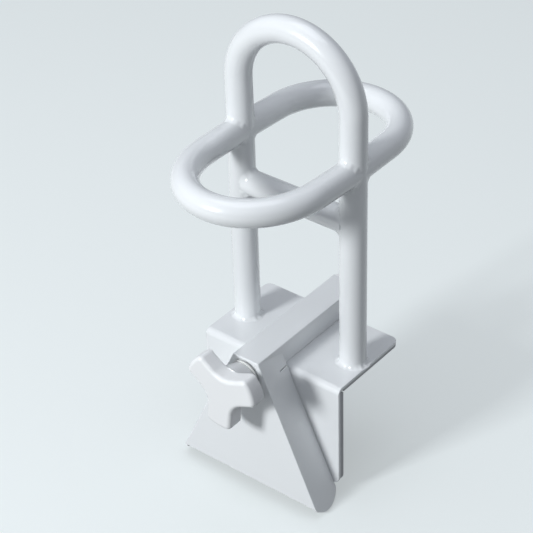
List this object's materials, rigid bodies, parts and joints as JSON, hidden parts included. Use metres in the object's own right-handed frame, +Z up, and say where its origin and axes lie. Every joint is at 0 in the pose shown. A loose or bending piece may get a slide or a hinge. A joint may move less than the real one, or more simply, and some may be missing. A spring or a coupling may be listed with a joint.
{
  "type": "bathtub safety rail",
  "caption": "Clamp-on bath grab rail: a welded tube hoop with loops to hold, on a folded steel saddle, tightened over the rim by a lobed hand knob.",
  "frame": {"origin": "underside of the rim pad, midway between the two posts", "axes": "+Z up, +X along the rim, +Y from the outside of the bath to the inside; the knob is on the -Y side"},
  "size_m": [0.1628, 0.257, 0.4569],
  "materials": {
    "white_paint": "gloss white powder coat",
    "white_plastic": "satin moulded plastic",
    "grey_rubber": "matt solid rubber",
    "zinc_steel": "bright zinc plate",
    "nylon": "natural nylon"
  },
  "bodies": {
    "rail_frame": {"saddle_plate": "white_paint", "hoop": "white_paint", "front_loop": "white_paint", "rear_loop": "white_paint", "cross_brace": "white_paint", "clamp_arm": "white_paint", "rim_pad": "grey_rubber", "flange_pad": "grey_rubber", "arm_end_cap": "white_plastic", "front_bush": "nylon"},
    "hand_knob": {"knob": "white_plastic", "knob_insert": "zinc_steel", "spindle": "zinc_steel", "thrust_washer": "nylon", "retaining_ring": "zinc_steel"},
    "sliding_jaw": {"jaw_block": "nylon", "spindle_nut": "zinc_steel", "inner_jaw": "white_paint", "inner_jaw_pad": "grey_rubber", "jaw_screw_left": "zinc_steel", "jaw_screw_right": "zinc_steel"}
  },
  "joints": [
    {"name": "knob_turn", "type": "hinge", "parent": "rail_frame", "child": "hand_knob", "pos_m": [0, -0.08, 0.0123], "axis": [0, 1, 0], "range_deg": [-1560, 1800]},
    {"name": "jaw_slide", "type": "slide", "parent": "rail_frame", "child": "sliding_jaw", "axis": [0, -1, 0], "range_m": [-0.013, 0.015]}
  ],
  "couplings": [
    {"joint": "jaw_slide", "follows": "knob_turn", "m_per_rad": 0.00047746}
  ]
}
